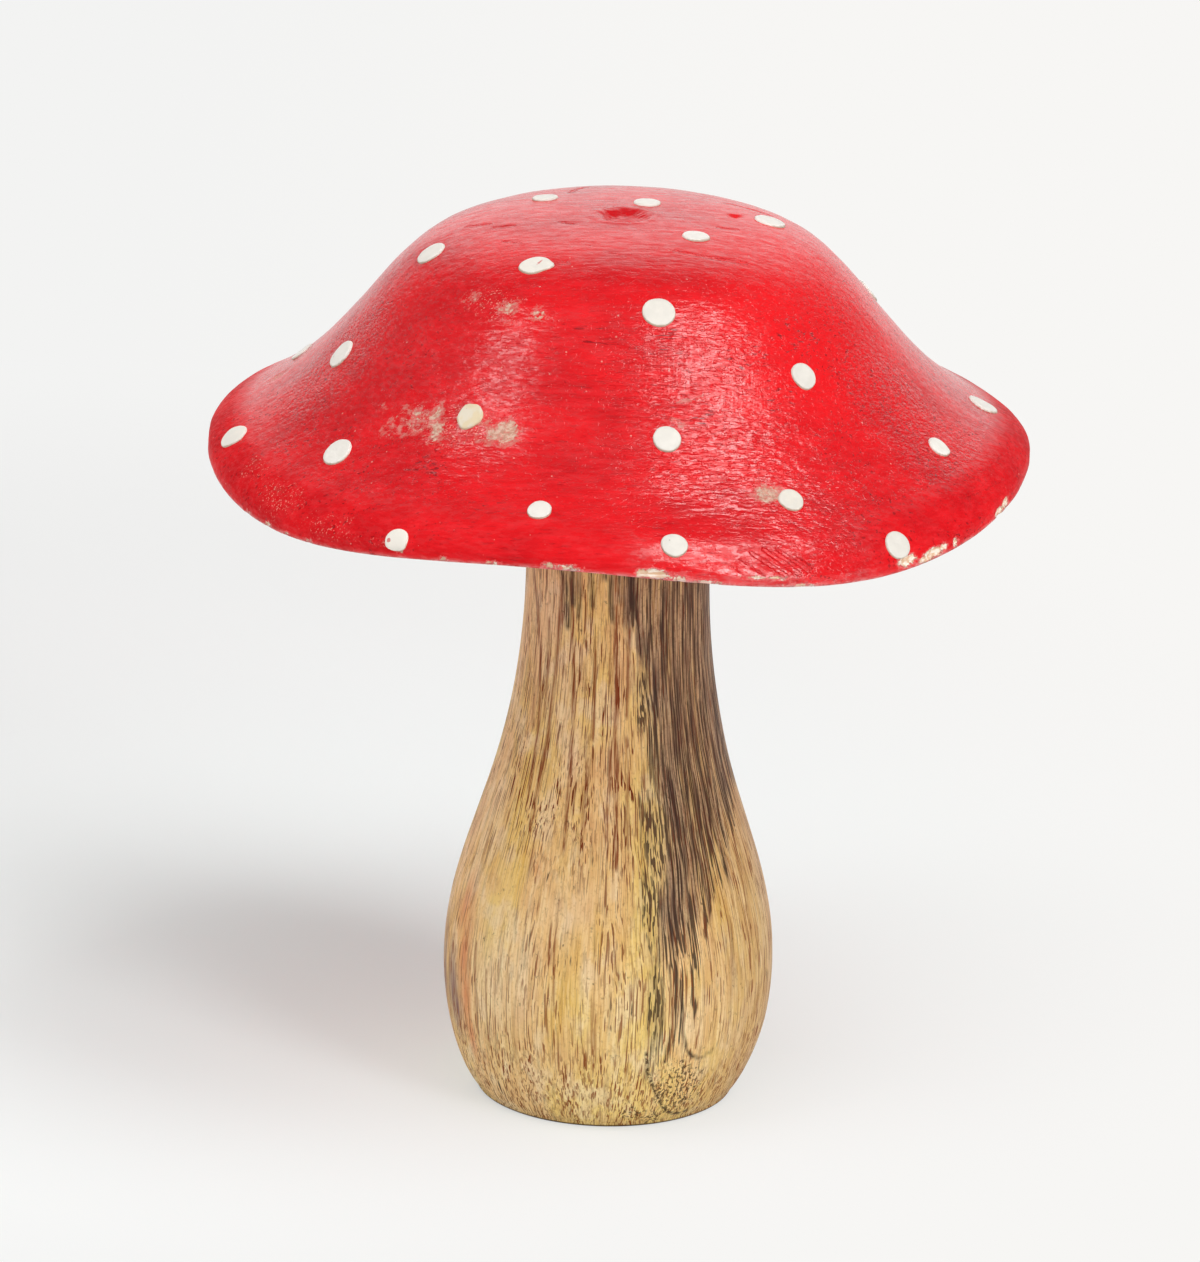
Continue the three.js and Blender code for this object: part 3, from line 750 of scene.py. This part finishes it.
def build_cap(material):
    azimuths = closer_in_front(CAP_COLUMNS)
    runs = np.concatenate([
        np.arange(0.5, 6.4, 0.36),
        np.arange(6.8, RIM_RUN - 10, 0.74),
        np.arange(RIM_RUN - 10, RIM_RUN - BRIM_BAND - 0.1, 0.4),
        np.linspace(RIM_RUN - BRIM_BAND, RIM_RUN, 5),
    ])
    run_grid, azimuth_grid = np.meshgrid(runs, azimuths, indexing="ij")
    outer = cap_surface(azimuth_grid, run_grid)
    off_edge = outer[-1] - cap_point(azimuths, np.full(CAP_COLUMNS, RIM_RUN))
    inner = []
    for radius, height in inner_outline():
        place = round_z(radius, azimuths, height + wave_lift(radius, azimuths))
        if radius > NECK_RADIUS + 4:
            place[:, 2] += 0.12 * noise(place, 9, 14) - 0.1
            place = place + smooth(radius, CAP_RADIUS - 2.5, CAP_RADIUS) * off_edge
        inner.append(place)
    top = cap_surface(np.zeros(1), np.zeros(1) + 0.01)[0] * (0, 0, 1)
    rings = np.concatenate([outer, np.array(inner)])
    piece = turned_mesh("painted_cap", rings, top, (0, 0, HEAD_TOP))

    unmarked = np.full(len(inner) - len(UNDER_EDGE), UNMARKED_RUN)
    mark_runs = np.concatenate([runs, RIM_RUN + np.array(UNDER_EDGE), unmarked])
    run, azimuth = np.meshgrid(mark_runs, azimuths, indexing="ij")
    for name, blobs in (
        ("chip", CHIPS), ("worn", WORN), ("scuff", SCUFFED), ("dark", DARKENED), ("coarse", COARSE),
        ("combed", COMBED),
    ):
        add_values(piece, name, blob_field(azimuth, run, blobs))
    add_values(piece, "crack", crack_field(azimuth, run))
    # The edge values mark a thin line along the brim's lower edge, where the painted reflection of the
    # floor goes.
    below_edge = smooth(-run, -RIM_RUN - 0.6, -RIM_RUN - 0.2)
    add_values(piece, "edge", smooth(run, RIM_RUN - 0.5, RIM_RUN - 0.1) * below_edge)
    from_glossy = np.abs(turn_between(math.radians(GLOSSY_LIP_AZIMUTH), azimuth))
    dull_lip = 1 - smooth(-from_glossy, -0.4, -0.2)
    add_values(piece, "lip", smooth(run, RIM_RUN - 13, RIM_RUN - 6) * dull_lip)
    settle(piece, ["cap", "screw_filler"], material)


# The dabs, which lie on the cap's skin. Some have lumps and notches in their outline, each a
# direction in degrees from straight down the slope, and a share of the width.
LUMPS = {
    4: [(20, 0.05), (-70, 0.06)], 6: [(108, 0.2), (62, -0.1), (-50, 0.07), (-120, -0.05)],
    9: [(-20, 0.07), (150, 0.05)],
    11: [(-14, 0.16), (-70, 0.06), (52, -0.1), (160, 0.06), (-140, 0.14), (110, 0.05)],
    12: [(100, 0.14), (-90, 0.08)], 14: [(35, 0.1)], 16: [(-90, 0.06)], 18: [(-45, 0.06), (45, 0.07)],
}
# Red paint that shows on a dab: how far down the slope and across, half-height and half-width, in
# millimetres. Then how yellow some dabs have turned, and how grey their white is: partly thin paint
# and partly painted shade that evens out how bright the dabs look in the light.
DAB_MARKS = {6: (-0.5, 0.45, 0.85, 0.22), 18: (0.3, -1.25, 0.5, 0.42), 3: (0.2, 0.9, 0.2, 0.3)}
YELLOWED = {11: 1, 16: 0.15, 7: 0.05, 6: 0.12, 18: 0.12, 12: 0.15}
THIN_AND_SHADED = {
    1: 0.2, 5: 0.3, 6: 0.3, 7: 0.85, 9: 0.95, 11: 0.6, 13: 0.85, 14: 0.1, 15: 0.15, 16: 1, 17: 0.3,
    19: 0.9, 20: 0.9,
}
# Rings from the middle to the edge: their share of the width, and their height above the cap
DAB_RINGS = [0.2, 0.42, 0.6, 0.74, 0.84, 0.91, 0.96, 1, 1.02]
DAB_HEIGHTS = [0.36, 0.36, 0.36, 0.355, 0.345, 0.32, 0.26, 0.1, -0.12]
DAB_COLUMNS = 44
LUMP_SPREAD = 0.42
NO_MARK = (9, 9, 1, 1)
PROFILE_RUNS = np.linspace(0.05, RIM_RUN - 0.02, 1700)
PROFILE = resampled(OUTLINE, PROFILE_RUNS)


def on_cap(places):
    """The azimuth and run of the nearest place on the cap."""
    azimuth = np.arctan2(places[:, 0], -places[:, 1])
    radius = np.hypot(places[:, 0], places[:, 1])
    lifted = PROFILE[:, 1] + wave_lift(PROFILE[:, 0], azimuth[:, None])
    away = (PROFILE[:, 0] - radius[:, None]) ** 2 + (lifted - places[:, 2:3]) ** 2
    return azimuth, PROFILE_RUNS[np.argmin(away, axis=1)]


def dab_outline(index, turns):
    """The half-width in each direction, as a share of the plain one."""
    around = np.stack([np.cos(turns), np.sin(turns), np.full(DAB_COLUMNS, index * 3.1)], -1)
    outline = 1 + 0.05 * noise(around, (0.9, 0.9, 1), 70 + index, 2)
    for direction, lump in LUMPS.get(index, []):
        away = turn_between(math.radians(direction), turns) / LUMP_SPREAD
        outline = outline + lump * np.exp(-away ** 2)
    return outline


def build_dab(index, azimuth_degrees, reach, width, material):
    azimuth = math.radians(azimuth_degrees)
    run = np.float64(reach * RIM_RUN)
    centre = cap_point(azimuth, run)
    down = cap_point(azimuth, run + 0.1) - cap_point(azimuth, run - 0.1)
    down = down / np.linalg.norm(down)
    across = np.array([math.cos(azimuth), math.sin(azimuth), 0])
    turns = np.linspace(0, 2 * math.pi, DAB_COLUMNS, endpoint=False)
    outline = dab_outline(index, turns)
    directions = np.cos(turns)[:, None] * down + np.sin(turns)[:, None] * across
    mark_down, mark_across, half_height, half_width = DAB_MARKS.get(index, NO_MARK)
    rings, marks = [], []
    for share, height in zip(DAB_RINGS, DAB_HEIGHTS):
        places = centre + (share * outline * width / 2)[:, None] * directions
        place_azimuth, place_run = on_cap(places)
        uneven = 0.04 * noise(places, 1.5, 80, 2) * (share < 0.95)
        rings.append(cap_surface(place_azimuth, place_run, height + uneven))
        lower = (places - centre) @ down - mark_down
        aside = (places - centre) @ across - mark_across
        marks.append(1 - np.hypot(lower / half_height, aside / half_width))
    middle = cap_surface(np.array([azimuth]), np.array([run]), np.array([DAB_HEIGHTS[0]]))[0]
    piece = turned_mesh(f"paint_dab_{index:02d}", np.array(rings), middle, None)
    # The rim values fall off towards each dab's upper side, so the brown line with its painted shade lies
    # along the lower edge.
    rim = np.array(DAB_RINGS)[:, None] + 0.05 * (np.cos(turns)[None] - 1)
    add_values(piece, "rim", rim)
    add_values(piece, "mark", np.append(np.ravel(marks), -1))
    for name, values in (("yellowed", YELLOWED), ("thin_and_shaded", THIN_AND_SHADED)):
        add_values(piece, name, np.full(len(piece.data.vertices), values.get(index, 0)))
    settle(piece, [f"white_dab_{index:02d}"], material)


# The stem. A border is a list of heights, each with the border's azimuth there.
BAND_LEFT = [
    (0, 13), (12, 16), (17, 15.6), (22.6, 16), (27.7, 17.2), (32.6, 19.2), (37.5, 17.6), (43.7, 16.8),
    (50, 15.2), (56, 17.2), (62.6, 19.6), (70.7, 18.8), (79, 16), (86, 8.4), (92, 6), (116, 0),
]
BAND_RIGHT = [
    (0, 20), (12, 20), (18.5, 23), (24, 24.5), (29.7, 26.4), (32.6, 29.4), (35.3, 34), (37.6, 41),
    (41, 48), (45.3, 55), (48, 62), (53, 82), (58, 100), (70, 116), (90, 122), (116, 126),
]
STAIN_LEFT = [
    (0, 18), (26, 17.6), (30.9, 18), (35.6, 18.5), (40, 19), (44, 23.5), (49.6, 26), (55, 25), (61, 20),
    (70.7, 18.8), (79, 15), (86, 7.4), (92, 4), (116, -3),
]
LINED_RIGHT = [
    (0, 20), (12, 22), (18.5, 27), (24, 29), (29.7, 32), (35.3, 39.2), (41, 52), (45.3, 58), (51.9, 84),
    (58, 96), (70, 104), (90, 108), (116, 110),
]
# A patch is azimuth, height, half-width and half-height
CLOSED = [(-50, 38, 11, 12), (-14, 39, 5, 8), (44, 12, 5, 5)]
DASHED = [(20, 50, 3, 11), (16, 39, 2, 9), (17, 24, 2, 10), (17.5, 73, 1.7, 8)]
PALE = [
    (-46, 84, 5, 12), (-34, 74, 3.4, 10), (-44, 24, 6, 11), (-30, 26, 3, 10), (-22, 63, 3, 6),
    (-14, 39, 5, 6), (-64, 50, 4, 8), (30, 20, 3.4, 6),
]
YELLOW = [
    (-44, 55, 4, 8), (-36, 44, 4, 7), (-4, 32, 6, 17), (-15, 22, 5, 10), (14, 50, 2.4, 14),
    (-56, 47, 5, 7), (13, 30, 3, 13), (-5, 24, 4, 8), (47, 38, 3.5, 8), (34, 26, 3, 7), (66, 32, 4, 10),
    (150, 40, 9, 24), (-140, 30, 8, 18),
]
PURPLE = [(-80, 21, 6, 10), (-71, 20, 4, 8), (-66, 16, 2.4, 6)]
ORANGE = [
    (-66, 34, 3.4, 8), (-62, 27, 3, 9), (-59, 20, 2.4, 8), (-57, 13, 1.6, 5), (-30, 44, 1, 1.6),
    (-112, 30, 4, 12),
]
DOTTED = [(29, 7.2, 5.8, 6.8), (10.8, 3.2, 2.2, 1.8), (20.4, 1.6, 2.4, 1.4)]
BLUSH = (-76, 30, 7, 24)
KNOT = (58, 50.5, 2.2, 7)
# A stroke is half-width, strength and its places, each azimuth and height
STREAKS = [
    (0.42, 0.85, [(-38.5, 50), (-38, 70), (-37, 92)]), (0.38, 0.85, [(-20, 48), (-23, 70), (-30, 92)]),
    (0.4, 0.9, [(3, 46), (2, 72), (-0.6, 96)]), (0.35, 0.85, [(-66, 92), (-52, 78), (-46, 68), (-44, 56)]),
    (0.3, 0.8, [(-12, 80), (-10, 66)]), (0.3, 0.8, [(9, 84), (8, 70)]),
    (0.35, 0.7, [(-1.5, 50), (-0.5, 64)]), (0.4, 0.5, [(-12, 42), (-13, 66)]),
    (0.3, 0.6, [(8, 46), (8.5, 66)]), (0.35, 0.6, [(-60, 88), (-57, 78), (-50, 66)]),
    (0.35, 0.6, [(-46, 84), (-42, 68)]), (0.3, 0.8, [(-21.5, 36), (-20.6, 30)]),
    (0.25, 0.6, [(-19.5, 40), (-18.6, 22)]), (0.3, 0.6, [(-54, 30), (-52, 14)]),
    (0.25, 0.55, [(-47, 26), (-46, 12)]), (0.25, 0.55, [(-4, 24), (-4, 13)]),
]
# The first nine strokes, at the top of the neck under the cap, are painted shade along its streaks; the
# rest are dark lines in the wood near the foot.
SHADES = [
    (1.2, 0.85, [(-40, 102), (-36, 93)]), (0.7, 0.9, [(-35, 92), (-31, 84)]),
    (0.7, 0.85, [(-30, 100), (-28, 88)]), (0.5, 0.75, [(-24, 98), (-23.6, 86)]),
    (0.5, 0.8, [(-17, 98), (-15, 88)]), (0.8, 0.85, [(-8, 102), (-6, 93)]),
    (0.5, 0.85, [(-4, 94), (-2, 86)]), (0.5, 0.8, [(2, 100), (3, 89)]), (0.5, 0.75, [(8, 99), (10, 88)]),
    (0.36, 0.95, [(26.8, 27), (27.6, 18.5), (30.4, 14.6), (33, 13.2)]),
    (0.34, 0.7, [(33, 13.2), (36.8, 12.5), (41.6, 13.5)]), (0.22, 0.7, [(22.5, 30), (23.5, 20), (22, 13)]),
    (0.22, 0.7, [(19.5, 28), (19.5, 17), (17, 9)]), (0.2, 0.6, [(17.4, 30), (17.5, 18), (15.4, 10)]),
    (0.2, 0.6, [(25, 32), (25.6, 22), (24.4, 16)]),
]
INKED = [(0.32, 1, [
    (15, 15), (15.8, 11.5), (18, 8.8), (22.4, 5.5), (26, 3.2), (31, 1.9), (36, 1.6), (40, 2.2),
])]
STEM_COLUMNS = 540


def patches(azimuth, height, radius, blobs):
    """A share from 1 in the middle of the nearest patch to 0 at its edge."""
    field = np.zeros(np.shape(azimuth))
    for a, z, half_width, half_height in blobs:
        side = turn_between(math.radians(a), azimuth) * radius / half_width
        field = np.maximum(field, smooth(-np.hypot(side, (height - z) / half_height), -1.3, 0.1))
    return field


def strokes(azimuth, height, radius, drawn, wander):
    """The strongest stroke's share at each place, with its line moved aside by the wander."""
    field = np.zeros(np.shape(azimuth))
    for half_width, strength, places in drawn:
        for (a0, z0), (a1, z1) in zip(places, places[1:]):
            end = turn_between(math.radians(a0), math.radians(a1)) * radius
            side = turn_between(math.radians(a0), azimuth) * radius + wander
            share = (side * end + (height - z0) * (z1 - z0)) / (end ** 2 + (z1 - z0) ** 2)
            share = np.clip(share, 0, 1)
            away = np.hypot(side - share * end, height - z0 - share * (z1 - z0))
            field = np.maximum(field, strength * smooth(-away, -half_width * 1.5, -half_width * 0.3))
    return field


def stem_rings(azimuths):
    """From the top of the tenon down to the foot."""
    outline = stem_outline()
    length = run_of(outline)[-1]
    runs = [np.arange(0, 3, 0.3), np.arange(3, 34, 0.56), np.arange(34, length - 0.4, 1), [length]]
    tenon_top = STEM_LENGTH + TENON_LENGTH
    rings = []
    for radius, height in np.vstack([
        resampled(outline, np.concatenate(runs)),
        (TENON_RADIUS, STEM_LENGTH),
        (TENON_RADIUS, tenon_top - TENON_CHAMFER),
        (TENON_RADIUS - TENON_CHAMFER, tenon_top),
    ]):
        place = round_z(radius, azimuths, height)
        if 0.5 < height < STEM_LENGTH and radius > TENON_RADIUS + 1:
            # The right side is a little fuller than the left
            fuller = float(0.35 * smooth(height, 3, 14) + 0.3 * smooth(height, 52, 70))
            wider = fuller * np.exp(-((azimuths - 1.4) / 0.9) ** 2)
            shrink = 1 + (0.06 * noise(place, (14, 14, 30), 90) - 0.07 + wider) / radius
            place[:, :2] *= shrink[:, None]
        rings.append(place)
    return np.array(rings)[::-1]


def build_stem(material):
    azimuths = closer_in_front(STEM_COLUMNS)
    rings = stem_rings(azimuths)
    height = rings[..., 2]
    radius = np.hypot(rings[..., 0], rings[..., 1])
    azimuth = np.broadcast_to(azimuths, height.shape)
    degrees = np.degrees(azimuth)
    place = (azimuth, height, radius)
    past_left, past_stain, past_right, past_tail = (
        np.radians(degrees - np.interp(height, *np.array(border).T)) * radius
        for border in (BAND_LEFT, STAIN_LEFT, BAND_RIGHT, LINED_RIGHT)
    )
    fingers = noise(np.stack([azimuth * 20, np.zeros(height.shape), height], -1), (2.4, 1, 26), 98, 3)
    wander = 0.25 * noise(rings, (9, 9, 5), 96, 2)
    flow = noise(rings, (3, 3, 14), 97, 2)

    knot = patches(*place, [KNOT])
    dashed = np.minimum(1.5 * patches(*place, DASHED), 1)
    pale = patches(*place, PALE) * smooth(flow, -1, 0.2)
    orange = patches(*place, ORANGE) * smooth(flow, -0.9, 0)
    band = smooth(past_stain, -2.2, 1.6) * smooth(6 * fingers - past_right, -4.5, 8)
    band = np.maximum(band * smooth(height, 24, 40) * (1 - 0.7 * dashed), knot)
    lined = smooth(past_left, -1, 1) * smooth(4 * fingers - past_tail, -1.5, 2.5)
    lined = np.maximum(np.maximum(lined * smooth(height, 9, 14), dashed), knot)
    dense = smooth(past_stain, -0.6, 0.8) * smooth(-past_stain, -5, -2) * smooth(height, 34, 46)
    above_or_below = np.maximum(smooth(height, 40, 52), smooth(-height, -20, -12))
    opened = (0.85 + 0.15 * above_or_below - 0.5 * band) * (1 - 0.9 * patches(*place, CLOSED))
    piece = turned_mesh("turned_stem", rings, (0, 0, height.max()), (0, 0, 0))
    for name, values in {
        "band": band,
        "lined": lined,
        "dashed": dashed,
        "dense": dense * smooth(-height, -86, -70) * (1 - 0.6 * dashed),
        "open": opened * (1 - 0.3 * pale) * (1 - 0.7 * dashed),
        "pale": pale,
        "yellow": patches(*place, YELLOW) * smooth(flow, -0.5, 0.3),
        "purple": patches(*place, PURPLE) * smooth(flow, -0.9, 0),
        "orange": np.maximum(orange, 0.4 * patches(*place, [BLUSH])),
        # The right side's darker tan is painted shade, full from about 60 to 110 degrees.
        "shaded_right_side": smooth(degrees, 25, 60) * smooth(-degrees, -140, -110),
        "streak": strokes(*place, STREAKS, wander),
        "shade": strokes(*place, SHADES, wander),
        "inked": strokes(*place, INKED, wander),
        "dotted": patches(*place, DOTTED),
    }.items():
        add_values(piece, name, values)
    settle(piece, ["stem"], material)


build_cap(cap_material())
build_stem(stem_material())
white_paint = dab_material()
for number, dab in enumerate(DABS, 1):
    build_dab(number, *dab, white_paint)

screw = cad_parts["cap_screw"]
screw.data.materials.clear()
screw.data.materials.append(screw_material())

# Floor, surroundings and light
BACKGROUND = "#f3f3f2"
FLOOR_HALF = 6
LIGHT_DISTANCE = 1.3
LIGHT_AIM = (0, 0, 0.12)
BACK_LIGHT = 1
LEFT_LIGHT = 0.45
ROOM_LIGHT = 0.1
# Name, azimuth, elevation, size in metres, radiance and whether the paint mirrors it
SOFTBOXES = [
    ("top_right", 57, 59, (0.66, 0.68), 4.7, True),
    ("strip_right", 42, 17, (0.4, 0.8), 7, True),
    ("top_left", -68, 51, (0.42, 0.4), 3.3, True),
    ("fill_left", -80, 38, (1.3, 1.1), 1.45, False),
    ("fill_front", 0, 60, (1, 1), 0.8, False),
    ("fill_top", 0, 84, (1, 1), 0.6, False),
]


def floor_material():
    """A pale floor that fades to plain white, away from the shadow for the camera, and behind the
    object where the paint mirrors it."""
    n = Material("pale_floor", Roughness=0.9, Specular_IOR_Level=0.1)
    x, y, _ = n.axes(n.place)
    # Near the object the floor is tinted cyan, a painted counter to the red light that the cap bounces
    # onto it.
    n.colour = n.mix(n.step(n.length(n.place), 40, 260), "#f3fcfb", "#fafaf9")
    n.lay("#f8f8f7", n.noise(400, 2, 1), 0.3)
    n.set("Base Color", n.colour)
    white = n.node("Emission", {"Color": n.mix(n.step(x, -120, 60), BACKGROUND, "#f7f6f4")})
    rays = n.node("LightPath", {}).outputs
    from_shadow = n.length(n.scaled(n.place, (1, 1, 1), (120, -130, 0)))
    seen = n.times(n.step(from_shadow, 80, 270), rays["Is Camera Ray"])
    mirrored = n.times(n.step(y, 30, 160, 0, 0.95), rays["Is Glossy Ray"])
    shaders = {0: n.add(seen, mirrored), 1: n.shader.outputs[0], 2: white.outputs[0]}
    surface = n.tree.nodes["Material Output"].inputs["Surface"]
    n.put(surface, n.node("MixShader", shaders).outputs[0])
    return n.material


def add_floor():
    mesh = bpy.data.meshes.new("floor")
    corners = [(-1, -1), (1, -1), (1, 1), (-1, 1)]
    mesh.from_pydata([(FLOOR_HALF * x, FLOOR_HALF * y, 0) for x, y in corners], [], [(0, 1, 2, 3)])
    mesh.materials.append(floor_material())
    in_scene("floor", mesh)


def add_surroundings():
    """A dark room with a white sweep behind and a pale wall at the left, plain white to the camera."""
    world = bpy.data.worlds.new("studio")
    bpy.context.scene.world = world
    world.use_nodes = True
    n = Nodes(world.node_tree)
    x, y, z = n.axes(n.node("TexCoord", {}).outputs["Generated"])
    back = n.times(
        n.step(y, 0, 0.4, 0, BACK_LIGHT),
        n.step(x, 0.16, 0.82, 1, 0),
        n.step(x, -0.75, -0.15),
        n.step(z, 0.42, 0.85, 1, 0),
    )
    left = n.times(n.step(x, -0.97, -0.6, LEFT_LIGHT, 0), n.step(z, 0.3, 0.8, 1, 0))
    room = n.tree.nodes["Background"]
    n.put(room.inputs["Color"], "#ffffff")
    n.put(room.inputs["Strength"], n.add(n.most(back, left), ROOM_LIGHT))
    behind = n.node("Background", {"Color": BACKGROUND})
    to_camera = n.node("LightPath", {}).outputs["Is Camera Ray"]
    both = n.node("MixShader", {0: to_camera, 1: room.outputs[0], 2: behind.outputs[0]})
    n.put(n.tree.nodes["World Output"].inputs["Surface"], both.outputs[0])


def add_softbox(name, azimuth, elevation, size, radiance, mirrored):
    """A soft light that faces the object, by its direction in degrees."""
    across, up = math.radians(azimuth), math.radians(elevation)
    flat = math.cos(up)
    away = Vector((flat * math.sin(across), -flat * math.cos(across), math.sin(up)))
    light = bpy.data.lights.new(name, "AREA")
    light.shape = "RECTANGLE"
    light.size, light.size_y = size
    light.energy = radiance * size[0] * size[1] * math.pi
    lamp = in_scene(name, light)
    lamp.location = Vector(LIGHT_AIM) + away * LIGHT_DISTANCE
    lamp.rotation_euler = away.to_track_quat("Z", "Y").to_euler()
    lamp.visible_camera = False
    lamp.visible_glossy = mirrored


# Camera
CAMERA_PLACE = (-0.00238, -1.4959, 0.5809)
CAMERA_AIM = (-0.00238, 0, 0.0789)
CAMERA_ROLL = 1.3
SENSOR_WIDTH = 36
FOCAL_LENGTH = 274.8
CLIP_END = 50


def add_camera():
    lens = bpy.data.cameras.new("camera")
    lens.sensor_width = SENSOR_WIDTH
    lens.lens = FOCAL_LENGTH
    lens.clip_end = CLIP_END
    camera = in_scene("camera", lens)
    bpy.context.scene.camera = camera
    camera.location = CAMERA_PLACE
    look = (Vector(CAMERA_AIM) - camera.location).to_track_quat("-Z", "Y").to_matrix()
    camera.rotation_euler = (look @ Matrix.Rotation(math.radians(CAMERA_ROLL), 3, "Z")).to_euler()


add_floor()
add_surroundings()
for softbox in SOFTBOXES:
    add_softbox(*softbox)
bpy.context.scene.view_settings.view_transform = "Standard"
add_camera()
